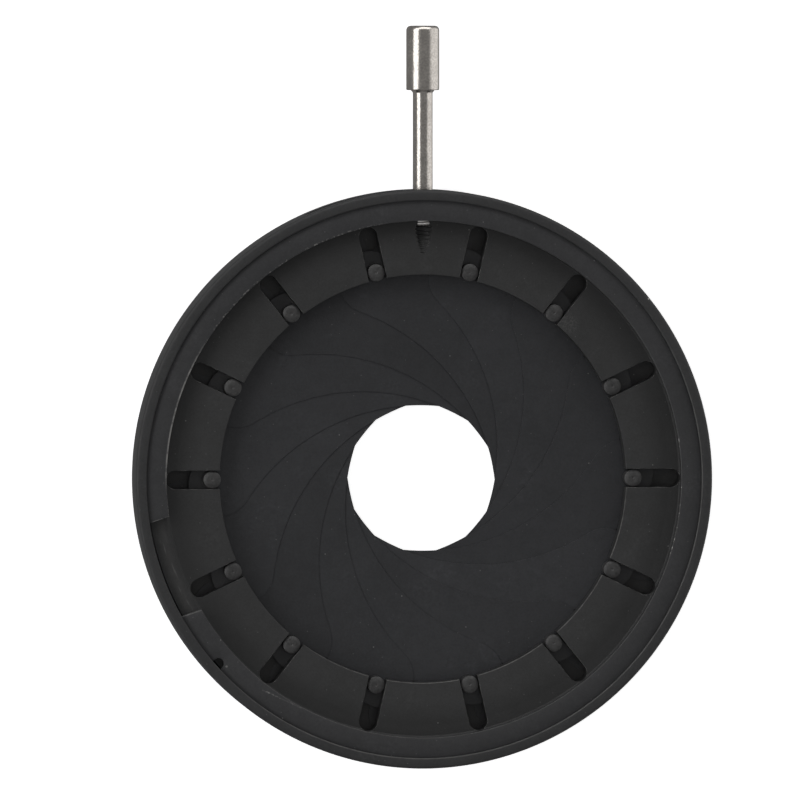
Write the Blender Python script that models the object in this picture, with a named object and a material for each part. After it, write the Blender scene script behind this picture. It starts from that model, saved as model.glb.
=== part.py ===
"""Adjustable iris diaphragm: fourteen blades in a housing, a slotted ring that turns them, and a lever.

It lies on its back. The optical axis is +Z, the origin is on that axis at the housing's back face, and
the lever points along +Y. Angles are counter-clockwise from +X, seen from the front. Points in the
plane of the iris are complex numbers, so that a turn is a multiplication.
"""

import cmath
import math

import bmesh
import bpy
import numpy as np

MM = 0.001
DEGREE = math.pi / 180

BLADES = 14
PITCH = 2 * math.pi / BLADES
SIDES = 84  # of the large round pieces

# Heights above the back face
FLOOR_TOP = 1.2 * MM
BLADE_BASE = 1.3 * MM
RING_BASE = 2.6 * MM
RING_TOP = 4.8 * MM
SHOULDER_TOP = 5.2 * MM
SNAP_BASE = 5.3 * MM
SNAP_TOP = 6.35 * MM
HEIGHT = 6.8 * MM
LEVER_Z = 4.05 * MM

# Housing
OUTER_R = 35 * MM
BORE_R = 33.7 * MM
OPENING_R = 24.3 * MM
GROOVE_R = 34.2 * MM
GROOVE_BASE = 5.25 * MM
GROOVE_TOP = 6.4 * MM
RIM_CHAMFER = 0.35 * MM
EDGE_CHAMFER = 0.15 * MM
PIVOT_HOLE_R = 1 * MM
PIVOT_HOLE_SIDES = 16

# Blades: a band about its own centre, with round ends. The pivot pin is at angle 0 of the band.
BAND_INNER_R = 24.9 * MM
BAND_OUTER_R = 32.5 * MM
PIN_CIRCLE_R = 30 * MM
BAND_ANGLE = 133 * DEGREE
BLADE_T = 0.055 * MM
REST_TURN = 31.1 * DEGREE  # of a blade about its pivot, from wide open

# Each blade rises evenly with the angle about a point inside its curve, so that it lies over the
# next blade along its whole length, and under the one before it.
RISE_PER_RADIAN = 0.2772 * MM
RISE_CENTRE_R = 21.9 * MM
RAY_ANGLE = 8 * DEGREE
RAY_SPACING = 8 * DEGREE
CAP_RAYS = 6
TOUCH = 1e-12  # metres that a circle grows, so that a ray which only touches it still meets it
ONE_POINT = 0.01 * MM  # where a ray enters and leaves a blade this close together, it has one point

# Pins
PIVOT_PIN_R = 0.93 * MM
PIVOT_PIN_BASE = 0.15 * MM
DRIVE_PIN_R = 1.05 * MM
DRIVE_PIN_TOP = 4.6 * MM
DRIVE_PIN_CHAMFER = 0.15 * MM
DRIVE_PIN_OFFSET = 0.9 * MM  # of its own axis from its middle
DRIVE_PIN_OFFSET_ANGLE = 143.2 * DEGREE
PIN_GAP = 0.02 * MM
PIN_SIDES = 20

# Slotted ring
RING_INNER_R = 24.7 * MM
RING_OUTER_R = 33.55 * MM
RING_CHAMFER = 0.1 * MM
SHOULDER_START_R = 31 * MM
SHOULDER_R = 31.4 * MM
SLOT_WIDTH = 2.25 * MM
SLOT_END_R = 31.25 * MM
SLOT_END_STEPS = 8
TAPPED_R = 1.25 * MM
TAPPED_END_R = 27.3 * MM

# Retaining ring
SNAP_INNER_R = 31.25 * MM
SNAP_OUTER_R = 34.1 * MM
SNAP_GAP_ANGLE = 198.96 * DEGREE  # of the middle of its gap, whose two ends are parallel
SNAP_GAP_HALF_WIDTH = 5.94 * MM
SNAP_STEPS = 78
NOTCH_ANGLE = 221.5 * DEGREE
NOTCH_R = 0.75 * MM
NOTCH_CENTRE_R = 33.5 * MM
NOTCH_STEPS = 8

# Lever: distances from the optical axis, and the ends of its travel
LEVER_ANGLE = 90 * DEGREE
LEVER_OPENING_TURN = -62.5 * DEGREE
LEVER_CLOSING_TURN = 22 * DEGREE
THREAD_START = 30.4 * MM
ROD_START = 35.2 * MM
KNOB_START = 47 * MM
LEVER_END = 54.8 * MM
THREAD_R = 1.15 * MM
ROD_R = 1.2 * MM
KNOB_R = 2 * MM
LEVER_SIDES = 24
LEVER_SLOT_CLEARANCE = 0.15 * MM
LEVER_SLOT_STEPS = 36


def clear_scene():
    for thing in list(bpy.data.objects):
        bpy.data.objects.remove(thing, do_unlink=True)


def material(name, color, metallic, roughness):
    made = bpy.data.materials.new(name)
    made.use_nodes = True
    shader = made.node_tree.nodes["Principled BSDF"]
    shader.inputs["Base Color"].default_value = (*color, 1)
    shader.inputs["Metallic"].default_value = metallic
    shader.inputs["Roughness"].default_value = roughness
    return made


def add_object(name, mesh, surface, parent=None, location=(0, 0, 0), turn=(0, 0, 0)):
    thing = bpy.data.objects.new(name, mesh)
    bpy.context.scene.collection.objects.link(thing)
    if not mesh.materials:
        mesh.materials.append(surface)
    thing.parent = parent
    thing.location = location
    thing.rotation_euler = turn
    return thing


def finish_mesh(shape, name):
    """Turns a bmesh into a mesh with outward faces, smooth but for its sharp edges."""
    bmesh.ops.recalc_face_normals(shape, faces=shape.faces[:])
    mesh = bpy.data.meshes.new(name)
    shape.to_mesh(mesh)
    shape.free()
    mesh.shade_smooth()
    mesh.set_sharp_from_angle(angle=30 * DEGREE)
    return mesh


def arc(radius, start, end, steps, centre=0):
    """Points along an arc, both ends included."""
    return [centre + cmath.rect(radius, a) for a in np.linspace(start, end, steps + 1)]


def turned(name, profile, sides, closed):
    """A profile of (radius, height) points turned about +Z: a closed ring, or a shaft with flat ends."""
    shape = bmesh.new()
    rings = []
    for radius, height in profile:
        circle = arc(radius, 0, 2 * math.pi, sides)[:-1]
        rings.append([shape.verts.new((p.real, p.imag, height)) for p in circle])
    pairs = list(zip(rings, rings[1:]))
    if closed:
        pairs.append((rings[-1], rings[0]))
    for low, high in pairs:
        for i in range(sides):
            j = (i + 1) % sides
            shape.faces.new((low[i], low[j], high[j], high[i]))
    if not closed:
        shape.faces.new(rings[0])
        shape.faces.new(rings[-1])
    return finish_mesh(shape, name)


def plate(name, outlines, base, top):
    """A flat piece cut to closed outlines, an edge and any holes, between two heights."""
    shape = bmesh.new()
    for outline in outlines:
        corners = [shape.verts.new((p.real, p.imag, base)) for p in outline]
        for here, there in zip(corners, corners[1:] + corners[:1]):
            shape.edges.new((here, there))
    bmesh.ops.triangle_fill(shape, use_beauty=True, edges=shape.edges[:])
    raised = bmesh.ops.extrude_face_region(shape, geom=shape.faces[:])["geom"]
    upper = [item for item in raised if isinstance(item, bmesh.types.BMVert)]
    bmesh.ops.translate(shape, verts=upper, vec=(0, 0, top - base))
    return finish_mesh(shape, name)


def cut(thing, cutter):
    """Cuts a hidden piece out of an object."""
    cutter.hide_render = True
    cutter.hide_viewport = True
    cutter.display_type = "WIRE"
    boolean = thing.modifiers.new(cutter.name, "BOOLEAN")
    boolean.operation = "DIFFERENCE"
    boolean.object = cutter


def band_point(radius, angle):
    """A point of a blade in the blade's own frame, where its pivot is the origin."""
    return cmath.rect(radius, angle) - PIN_CIRCLE_R


def drive_pin_place():
    """Where a drive pin's middle is in its blade's own frame."""
    return band_point(PIN_CIRCLE_R, BAND_ANGLE)


def first_pivot_angle():
    """The angle of the first blade's pivot, which puts that blade's drive pin at angle 0."""
    pin = PIN_CIRCLE_R + drive_pin_place() * cmath.rect(1, REST_TURN)
    return -cmath.phase(pin)


def circle_hits(start, direction, centre, radius):
    """Distances along a ray at which it crosses a circle."""
    offset = start - centre
    along = (offset * direction.conjugate()).real
    square = along**2 - abs(offset) ** 2 + radius**2
    if square < 0:
        return []
    return [-along - math.sqrt(square), -along + math.sqrt(square)]


def blade_rays():
    """Angles of the rays that cut a blade into strips, from its pivot end to its drive end."""
    middle_r = (BAND_INNER_R + BAND_OUTER_R) / 2
    cap_r = (BAND_OUTER_R - BAND_INNER_R) / 2
    centre = cmath.rect(RISE_CENTRE_R, BAND_ANGLE / 2)
    first_cap = middle_r - centre
    last_cap = cmath.rect(middle_r, BAND_ANGLE) - centre
    first_angle = cmath.phase(first_cap)
    last_angle = cmath.phase(last_cap) % (2 * math.pi)
    steps = np.linspace(0, math.pi / 2, CAP_RAYS + 1)[:-1]
    cap = [math.asin(cap_r * math.cos(s) / abs(first_cap)) for s in steps]

    # even steps of a mix of the angle about the rise centre and the angle along the inner edge
    along = np.linspace(0, BAND_ANGLE, 400)
    edge = BAND_INNER_R * np.exp(1j * along) - centre
    about = np.unwrap(np.angle(edge))
    inside = (about > first_angle) & (about < last_angle)
    about = np.concatenate([[first_angle], about[inside], [last_angle]])
    along = np.concatenate([[0], along[inside], [BAND_ANGLE]])
    mix = about / RAY_ANGLE + along / RAY_SPACING
    count = math.ceil(mix[-1] - mix[0])
    middle = np.interp(np.linspace(mix[0], mix[-1], count + 1), mix, about)
    return [
        *[first_angle - c for c in cap],
        *middle,
        *[last_angle + c for c in reversed(cap)],
    ]


def blade_strips():
    """For each ray: its angle, and where it enters and leaves a blade, in the band's frame."""
    middle_r = (BAND_INNER_R + BAND_OUTER_R) / 2
    cap_r = (BAND_OUTER_R - BAND_INNER_R) / 2
    centre = cmath.rect(RISE_CENTRE_R, BAND_ANGLE / 2)
    outline = [
        (0, BAND_INNER_R, False),
        (0, BAND_OUTER_R, False),
        (middle_r, cap_r, True),
        (cmath.rect(middle_r, BAND_ANGLE), cap_r, True),
    ]
    strips = []
    for angle in blade_rays():
        direction = cmath.rect(1, angle)
        found = []
        for circle, radius, is_cap in outline:
            for distance in circle_hits(centre, direction, circle, radius + TOUCH):
                point = centre + distance * direction
                # turned so that the band's middle is at angle 0, where no angle jumps
                from_middle = abs(cmath.phase(point * cmath.rect(1, -BAND_ANGLE / 2)))
                if distance > 0 and (from_middle > BAND_ANGLE / 2) == is_cap:
                    found.append(distance)
        strips.append((angle, centre + min(found) * direction, centre + max(found) * direction))
    return strips


def blade_mesh():
    """One thin sheet in its own frame: pivot at the origin, its lowest edge at height 0."""
    shape = bmesh.new()
    strips = blade_strips()
    start = strips[0][0]
    rows = []
    for angle, enter, leave in strips:
        height = RISE_PER_RADIAN * (angle - start)
        ends = [enter - PIN_CIRCLE_R, leave - PIN_CIRCLE_R]
        if abs(enter - leave) < ONE_POINT:
            ends = ends[:1]
        under = [shape.verts.new((p.real, p.imag, height)) for p in ends]
        over = [shape.verts.new((p.real, p.imag, height + BLADE_T)) for p in ends]
        rows.append((under, over))
    for here, there in zip(rows, rows[1:]):
        for layer in (0, 1):
            near, far = here[layer], there[layer]
            corners = dict.fromkeys((near[0], far[0], far[-1], near[-1]))
            shape.faces.new(list(corners))
        for side in (0, -1):
            shape.faces.new((here[0][side], there[0][side], there[1][side], here[1][side]))
    bmesh.ops.triangulate(shape, faces=shape.faces[:], quad_method="SHORT_EDGE")
    return finish_mesh(shape, "blade")


def build_housing(surface):
    profile = [
        (OUTER_R - EDGE_CHAMFER, 0),
        (OUTER_R, EDGE_CHAMFER),
        (OUTER_R, HEIGHT - RIM_CHAMFER),
        (OUTER_R - RIM_CHAMFER, HEIGHT),
        (BORE_R + EDGE_CHAMFER, HEIGHT),
        (BORE_R, HEIGHT - EDGE_CHAMFER),
        (BORE_R, GROOVE_TOP),
        (GROOVE_R, GROOVE_TOP),
        (GROOVE_R, GROOVE_BASE),
        (BORE_R, GROOVE_BASE),
        (BORE_R, FLOOR_TOP),
        (OPENING_R + EDGE_CHAMFER, FLOOR_TOP),
        (OPENING_R, FLOOR_TOP - EDGE_CHAMFER),
        (OPENING_R, EDGE_CHAMFER),
        (OPENING_R + EDGE_CHAMFER, 0),
    ]
    housing = add_object("housing", turned("housing", profile, SIDES, True), surface)

    hole = [(PIVOT_HOLE_R, -0.5 * MM), (PIVOT_HOLE_R, FLOOR_TOP + 0.5 * MM)]
    hole_mesh = turned("pivot_hole", hole, PIVOT_HOLE_SIDES, False)
    for i in range(BLADES):
        place = cmath.rect(PIN_CIRCLE_R, first_pivot_angle() + i * PITCH)
        name = f"pivot_hole_{i + 1:02d}"
        cutter = add_object(name, hole_mesh, surface, location=(place.real, place.imag, 0))
        cut(housing, cutter)

    # the lever passes through a slot in the wall that is as long as its travel
    half_width = math.asin((ROD_R + LEVER_SLOT_CLEARANCE) / OUTER_R)
    start = LEVER_ANGLE + LEVER_OPENING_TURN - half_width
    end = LEVER_ANGLE + LEVER_CLOSING_TURN + half_width
    sector = [
        *arc(BORE_R - 1 * MM, start, end, LEVER_SLOT_STEPS),
        *arc(OUTER_R + 1 * MM, end, start, LEVER_SLOT_STEPS),
    ]
    reach = ROD_R + LEVER_SLOT_CLEARANCE
    slot_mesh = plate("lever_slot", [sector], LEVER_Z - reach, LEVER_Z + reach)
    cut(housing, add_object("lever_slot", slot_mesh, surface))


def build_slotted_ring(surface):
    """A flat ring with a raised shoulder under the retaining ring, cut by the slots and the tapped hole."""
    profile = [
        (RING_OUTER_R, RING_BASE),
        (RING_OUTER_R, SHOULDER_TOP),
        (SHOULDER_R, SHOULDER_TOP),
        (SHOULDER_START_R, RING_TOP),
        (RING_INNER_R + RING_CHAMFER, RING_TOP),
        (RING_INNER_R, RING_TOP - RING_CHAMFER),
        (RING_INNER_R, RING_BASE),
    ]
    ring = add_object("slotted_ring", turned("slotted_ring", profile, SIDES, True), surface)

    half_width = SLOT_WIDTH / 2
    end = arc(half_width, -math.pi / 2, math.pi / 2, SLOT_END_STEPS, SLOT_END_R - half_width)
    mouth_r = RING_INNER_R - 1 * MM
    slot = [complex(mouth_r, half_width), complex(mouth_r, -half_width), *end]
    slots = [[point * cmath.rect(1, i * PITCH) for point in slot] for i in range(BLADES)]
    slot_mesh = plate("ring_slots", slots, RING_BASE - 1 * MM, SHOULDER_TOP + 1 * MM)
    cut(ring, add_object("ring_slots", slot_mesh, surface))

    bore = [(TAPPED_R, TAPPED_END_R), (TAPPED_R, OUTER_R)]
    bore_mesh = turned("tapped_hole", bore, LEVER_SIDES, False)
    cutter = add_object(
        "tapped_hole", bore_mesh, surface, location=(0, 0, LEVER_Z), turn=(-math.pi / 2, 0, 0)
    )
    cut(ring, cutter)
    return ring


def build_retaining_ring(surface):
    notch_reach = math.asin(NOTCH_R / SNAP_OUTER_R)
    notch_turn = cmath.rect(1, NOTCH_ANGLE)
    depth = SNAP_OUTER_R * math.cos(notch_reach) - NOTCH_CENTRE_R
    spread = math.pi - math.acos(depth / math.hypot(depth, NOTCH_R))
    notch = arc(NOTCH_R, -spread, spread - 2 * math.pi, NOTCH_STEPS, NOTCH_CENTRE_R)

    outer_gap = math.asin(SNAP_GAP_HALF_WIDTH / SNAP_OUTER_R)
    inner_gap = math.asin(SNAP_GAP_HALF_WIDTH / SNAP_INNER_R)
    start = SNAP_GAP_ANGLE + outer_gap
    end = SNAP_GAP_ANGLE - outer_gap + 2 * math.pi
    inner_start = SNAP_GAP_ANGLE + inner_gap
    inner_end = SNAP_GAP_ANGLE - inner_gap + 2 * math.pi
    before = round(SNAP_STEPS * (NOTCH_ANGLE - start) / (2 * math.pi))
    outline = [
        *arc(SNAP_OUTER_R, start, NOTCH_ANGLE - notch_reach, before),
        *[point * notch_turn for point in notch],
        *arc(SNAP_OUTER_R, NOTCH_ANGLE + notch_reach, end, SNAP_STEPS - before),
        *arc(SNAP_INNER_R, inner_end, inner_start, SNAP_STEPS),
    ]
    mesh = plate("retaining_ring", [outline], SNAP_BASE, SNAP_TOP)
    add_object("retaining_ring", mesh, surface)


def build_lever(surface, ring):
    tip = 0.2 * MM
    knob_chamfer = 0.25 * MM
    profile = [
        (THREAD_R - tip, THREAD_START),
        (THREAD_R, THREAD_START + tip),
        (THREAD_R, ROD_START),
        (ROD_R, ROD_START),
        (ROD_R, KNOB_START - knob_chamfer),
        (ROD_R + knob_chamfer, KNOB_START),
        (KNOB_R - knob_chamfer, KNOB_START),
        (KNOB_R, KNOB_START + knob_chamfer),
        (KNOB_R, LEVER_END - 2 * knob_chamfer),
        (KNOB_R - knob_chamfer / 2, LEVER_END - knob_chamfer / 2),
        (KNOB_R - 2 * knob_chamfer, LEVER_END),
    ]
    add_object(
        "control_lever",
        turned("control_lever", profile, LEVER_SIDES, False),
        surface,
        parent=ring,
        location=(0, 0, LEVER_Z),
        turn=(-math.pi / 2, 0, 0),
    )


def build_blades(blade_surface, pin_surface):
    """Each blade with its pins. A drive pin's own axis is a little off its middle."""
    mesh = blade_mesh()
    highest = max(vertex.co.z for vertex in mesh.vertices)
    pivot_profile = [(PIVOT_PIN_R, PIVOT_PIN_BASE), (PIVOT_PIN_R, BLADE_BASE - PIN_GAP)]
    pivot_mesh = turned("pivot_pin", pivot_profile, PIVOT_HOLE_SIDES, False)
    for vertex in pivot_mesh.vertices:
        vertex.co.z -= BLADE_BASE
    drive_profile = [
        (DRIVE_PIN_R, highest + PIN_GAP),
        (DRIVE_PIN_R, DRIVE_PIN_TOP - BLADE_BASE - DRIVE_PIN_CHAMFER),
        (DRIVE_PIN_R - DRIVE_PIN_CHAMFER, DRIVE_PIN_TOP - BLADE_BASE),
    ]
    drive_mesh = turned("drive_pin", drive_profile, PIN_SIDES, False)
    offset = cmath.rect(DRIVE_PIN_OFFSET, DRIVE_PIN_OFFSET_ANGLE - REST_TURN)
    for vertex in drive_mesh.vertices:
        vertex.co.x += offset.real
        vertex.co.y += offset.imag
    axis = drive_pin_place() - offset
    for i in range(BLADES):
        pivot_angle = first_pivot_angle() + i * PITCH
        pivot = cmath.rect(PIN_CIRCLE_R, pivot_angle)
        number = f"{i + 1:02d}"
        blade = add_object(
            f"blade_{number}",
            mesh,
            blade_surface,
            location=(pivot.real, pivot.imag, BLADE_BASE),
            turn=(0, 0, pivot_angle + REST_TURN),
        )
        add_object(f"pivot_pin_{number}", pivot_mesh, pin_surface, parent=blade)
        add_object(
            f"drive_pin_{number}",
            drive_mesh,
            pin_surface,
            parent=blade,
            location=(axis.real, axis.imag, 0),
        )


def main():
    clear_scene()
    black_body = material("black_anodised", (0.028, 0.028, 0.029), 0.0, 0.5)
    black_ring = material("black_ring", (0.022, 0.022, 0.022), 0.0, 0.55)
    black_blade = material("black_blade", (0.026, 0.027, 0.029), 0.2, 0.45)
    pin_steel = material("dark_pin_steel", (0.12, 0.12, 0.12), 0.8, 0.4)
    bright_steel = material("bright_steel", (0.62, 0.61, 0.59), 1.0, 0.2)
    build_housing(black_body)
    ring = build_slotted_ring(black_ring)
    build_retaining_ring(black_body)
    build_lever(bright_steel, ring)
    build_blades(black_blade, pin_steel)


main()
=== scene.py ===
import cmath
import math

import bmesh
import bpy
import numpy as np
from mathutils import Matrix, Vector


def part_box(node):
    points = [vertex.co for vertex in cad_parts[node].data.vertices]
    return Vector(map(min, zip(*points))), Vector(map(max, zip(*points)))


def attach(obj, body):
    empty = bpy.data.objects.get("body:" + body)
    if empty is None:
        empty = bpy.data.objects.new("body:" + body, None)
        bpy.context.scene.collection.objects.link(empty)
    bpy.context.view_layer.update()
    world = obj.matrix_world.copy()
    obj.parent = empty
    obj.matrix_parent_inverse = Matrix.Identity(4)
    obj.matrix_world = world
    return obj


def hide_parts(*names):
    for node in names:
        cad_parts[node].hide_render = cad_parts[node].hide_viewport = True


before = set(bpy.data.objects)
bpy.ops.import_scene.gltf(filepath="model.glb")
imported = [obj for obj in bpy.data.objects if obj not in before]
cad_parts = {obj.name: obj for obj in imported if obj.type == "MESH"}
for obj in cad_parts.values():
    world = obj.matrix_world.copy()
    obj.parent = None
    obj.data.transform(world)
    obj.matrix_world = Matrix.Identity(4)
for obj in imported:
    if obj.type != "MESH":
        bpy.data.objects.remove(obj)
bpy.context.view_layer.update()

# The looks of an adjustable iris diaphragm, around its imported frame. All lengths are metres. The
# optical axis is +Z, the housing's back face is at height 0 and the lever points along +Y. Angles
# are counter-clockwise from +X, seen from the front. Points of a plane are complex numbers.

MM = 0.001
DEGREE = math.pi / 180
BLADES = 14
PITCH = 2 * math.pi / BLADES
SIDES = 336  # of the large round pieces
SHARP_ANGLE = 35 * DEGREE
MARGIN = 1 * MM  # how far a cutter reaches past what it cuts

OUTER_R = 35 * MM
BORE_R = 33.7 * MM
OPENING_R = 24.3 * MM
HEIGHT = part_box("housing")[1].z
FLOOR_TOP = 1.2 * MM
GROOVE_R = 34.2 * MM
GROOVE_BASE = 5.25 * MM
GROOVE_TOP = 6.4 * MM
PIVOT_HOLE_R = 1 * MM

BLADE_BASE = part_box("blade_01")[0].z
BAND_INNER_R = 24.9 * MM
BAND_OUTER_R = 32.5 * MM
PIN_CIRCLE_R = 30 * MM
BAND_ANGLE = 133 * DEGREE
BLADE_T = 0.055 * MM
REST_TURN = 31.1 * DEGREE
RISE_PER_RADIAN = 0.2772 * MM
RISE_CENTRE_R = 21.9 * MM
RAY_STEP = 2.5 * DEGREE
CAP_RAYS = 16
POINTS_ACROSS = 5
TOUCH = 1e-12  # lets a ray that only touches a cap still meet it
# Painted shade and light: each leaf's colour is scaled by its own factor, lighter or darker as the
# bent leaves catch the light.
LEAF_PAINTED_SHADING = (0.95, 0.95, 0.95, 1, 0.9, 0.8, 0.9, 0.95, 0.94, 0.84, 0.95, 1, 0.96, 1.12)

RING_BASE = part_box("slotted_ring")[0].z
SHOULDER_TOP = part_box("slotted_ring")[1].z
RING_TOP = 4.8 * MM
RING_INNER_R = 24.7 * MM
RING_OUTER_R = 33.55 * MM
SHOULDER_R = 31.45 * MM
SLOT_WIDTH = 2.25 * MM
SLOT_END_R = 31.25 * MM

SNAP_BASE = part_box("retaining_ring")[0].z
SNAP_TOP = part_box("retaining_ring")[1].z
SNAP_INNER_R = 31.25 * MM
SNAP_OUTER_R = 34.1 * MM
SNAP_GAP_ANGLE = 198.96 * DEGREE
SNAP_GAP_HALF_WIDTH = 5.94 * MM
NOTCH_ANGLE = 221.5 * DEGREE
NOTCH_R = 0.75 * MM
NOTCH_CENTRE_R = 33.5 * MM

PIN_R = 1.05 * MM
RIVET_R = 0.93 * MM

LEVER_Z = 4.05 * MM
LEVER_OPENING_TURN = -62.5 * DEGREE
LEVER_CLOSING_TURN = 22 * DEGREE
LEVER_SLOT_HALF = 1.35 * MM
THREAD_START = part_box("control_lever")[0].y
THREAD_R = 1.15 * MM
TAPPED_R = 1.08 * MM
TAPPED_END_R = 27.3 * MM
THREAD_DEPTH = 0.16 * MM
THREAD_PITCH = 0.48 * MM
STEPS_PER_PITCH = 10
GROOVE_LENGTH = 3.3 * MM
GROOVE_AXIS_Z = RING_TOP + 0.35 * MM
GROOVE_CREST_R = 1.08 * MM
GROOVE_THREAD_DEPTH = 0.14 * MM
HANDLE_START = 34.4 * MM
ROD_R = 1.2 * MM
KNOB_START = 47 * MM
KNOB_R = 2 * MM
LEVER_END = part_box("control_lever")[1].y

# Bare metal where the coat is worn, and also the colour of painted highlights and painted light.
BARE_METAL_AND_PAINTED_LIGHT = (0.5, 0.49, 0.47, 1)
DUST = (0.3, 0.3, 0.29, 1)
# The dark colour in the lever thread's grooves.
THREAD_GROOVE_DARK = (0.05, 0.048, 0.045, 1)
WHITE = (1, 1, 1, 1)

PHOTO_PIXELS = 800
PIXEL = 0.12077 * MM  # what one of the photo's pixels spans on the object


# ---------------------------------------------------------------- shapes


def shade(mesh):
    """Smooth but for the sharp edges."""
    mesh.shade_smooth()
    mesh.set_sharp_from_angle(angle=SHARP_ANGLE)
    return mesh


def as_mesh(shape, name):
    """A bmesh as a mesh. The bmesh is used up."""
    mesh = bpy.data.meshes.new(name)
    shape.to_mesh(mesh)
    shape.free()
    return mesh


def finish_mesh(shape, name):
    """A bmesh as a shaded mesh with outward faces."""
    bmesh.ops.recalc_face_normals(shape, faces=shape.faces[:])
    return shade(as_mesh(shape, name))


def add_object(name, data):
    made = bpy.data.objects.new(name, data)
    bpy.context.scene.collection.objects.link(made)
    return made


def add_piece(name, mesh, surface):
    mesh.materials.append(surface)
    return add_object(name, mesh)


def to_middle(mesh, low, high):
    """Moves a mesh made about +Z to the middle of a box, seen from the front."""
    mesh.transform(Matrix.Translation(((low.x + high.x) / 2, (low.y + high.y) / 2, 0)))
    return mesh


def arc(radius, start, end, steps, centre=0):
    return [centre + cmath.rect(radius, a) for a in np.linspace(start, end, steps + 1)]


def rounded(corners, steps=4):
    """An outline through corners given as (place, radius of rounding)."""
    points = []
    for i, (here, radius) in enumerate(corners):
        if radius == 0:
            points.append(here)
            continue
        back = corners[i - 1][0] - here
        on = corners[(i + 1) % len(corners)][0] - here
        back /= abs(back)
        on /= abs(on)
        half = abs(cmath.phase(on / back)) / 2
        centre = here + (back + on) / abs(back + on) * radius / math.sin(half)
        first = here + back * radius / math.tan(half) - centre
        last = here + on * radius / math.tan(half) - centre
        sweep = cmath.phase(last / first)
        points += [centre + first * cmath.rect(1, sweep * s / steps) for s in range(steps + 1)]
    return points


def add_points(shape, points, height):
    """A row of vertices at one height."""
    return [shape.verts.new((p.real, p.imag, height)) for p in points]


def bridge(shape, low, high):
    """Faces all the way round between two closed rows of vertices."""
    for i in range(len(low)):
        j = (i + 1) % len(low)
        shape.faces.new((low[i], low[j], high[j], high[i]))


def bridge_all(shape, rows, closed=False):
    """Faces between closed rows, and over both ends or from the last row to the first."""
    for low, high in zip(rows, rows[1:]):
        bridge(shape, low, high)
    if closed:
        bridge(shape, rows[-1], rows[0])
    else:
        shape.faces.new(rows[0])
        shape.faces.new(rows[-1])


def turned(name, outline, sides, closed=False):
    """An outline of radius + 1j * height, turned about +Z into a shaft or a closed ring."""
    shape = bmesh.new()
    rings = []
    for point in outline:
        circle = arc(point.real, 0, 2 * math.pi, sides)[:-1]
        rings.append(add_points(shape, circle, point.imag))
    bridge_all(shape, rings, closed)
    return finish_mesh(shape, name)


def plate(name, outline, base, top, bevel=0):
    """A flat piece cut to an outline, between two heights, with its edges taken off by a bevel."""
    shape = bmesh.new()
    corners = add_points(shape, outline, base)
    for here, there in zip(corners, corners[1:] + corners[:1]):
        shape.edges.new((here, there))
    bmesh.ops.triangle_fill(shape, use_beauty=True, edges=shape.edges[:])
    flat = 0.01 * DEGREE
    bmesh.ops.dissolve_limit(shape, angle_limit=flat, verts=shape.verts[:], edges=shape.edges[:])
    raised = bmesh.ops.extrude_face_region(shape, geom=shape.faces[:])["geom"]
    upper = [item for item in raised if isinstance(item, bmesh.types.BMVert)]
    bmesh.ops.translate(shape, verts=upper, vec=(0, 0, top - base))
    if bevel:
        shape.normal_update()
        level, corner = 1e-9, 1.0
        rims = [e for e in shape.edges if abs(e.verts[0].co.z - e.verts[1].co.z) < level]
        rims = [e for e in rims if len(e.link_faces) == 2 and e.calc_face_angle(0) > corner]
        bmesh.ops.bevel(shape, geom=rims, offset=bevel, segments=2, profile=0.5, affect="EDGES")
    return finish_mesh(shape, name)


def threaded(name, crest_r, depth, start, end, sides, tip, taper):
    """A screw's shank about +Z. Its tip, of this length, narrows by the taper towards the start."""
    shape = bmesh.new()
    rows = []
    past_end = end + THREAD_PITCH / 12
    for height in np.arange(start, past_end, THREAD_PITCH / STEPS_PER_PITCH):
        row = []
        for i in range(sides):
            phase = (height / THREAD_PITCH - i / sides) % 1
            steepness, root = 1.7, 0.25
            tooth = min(1, max(0, steepness * (1 - abs(2 * phase - 1)) - root))
            radius = crest_r - depth * (1 - tooth) - max(0, start + tip - height) * taper
            point = cmath.rect(radius, 2 * math.pi * i / sides)
            row.append(shape.verts.new((point.real, point.imag, height)))
        rows.append(row)
    bridge_all(shape, rows)
    return finish_mesh(shape, name)


def join(name, meshes):
    """Several meshes as one."""
    shape = bmesh.new()
    for mesh in meshes:
        shape.from_mesh(mesh)
        bpy.data.meshes.remove(mesh)
    return as_mesh(shape, name)


def carve(piece, cutter_mesh):
    """Cuts a mesh out of a piece for good."""
    cutter = add_object("cutter", cutter_mesh)
    boolean = piece.modifiers.new("cut", "BOOLEAN")
    boolean.operation = "DIFFERENCE"
    boolean.object = cutter
    bpy.context.view_layer.update()
    graph = bpy.context.evaluated_depsgraph_get()
    made = bpy.data.meshes.new_from_object(piece.evaluated_get(graph))
    piece.modifiers.clear()
    old = piece.data
    piece.data = made
    bpy.data.meshes.remove(old)
    bpy.data.objects.remove(cutter)
    shade(made)


def along_lever(mesh, height=LEVER_Z):
    """Lays a mesh made about +Z along the lever's axis, or above it."""
    mesh.transform(Matrix.Translation((0, 0, height)) @ Matrix.Rotation(-math.pi / 2, 4, "X"))
    return mesh


# ---------------------------------------------------------------- surfaces


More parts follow.
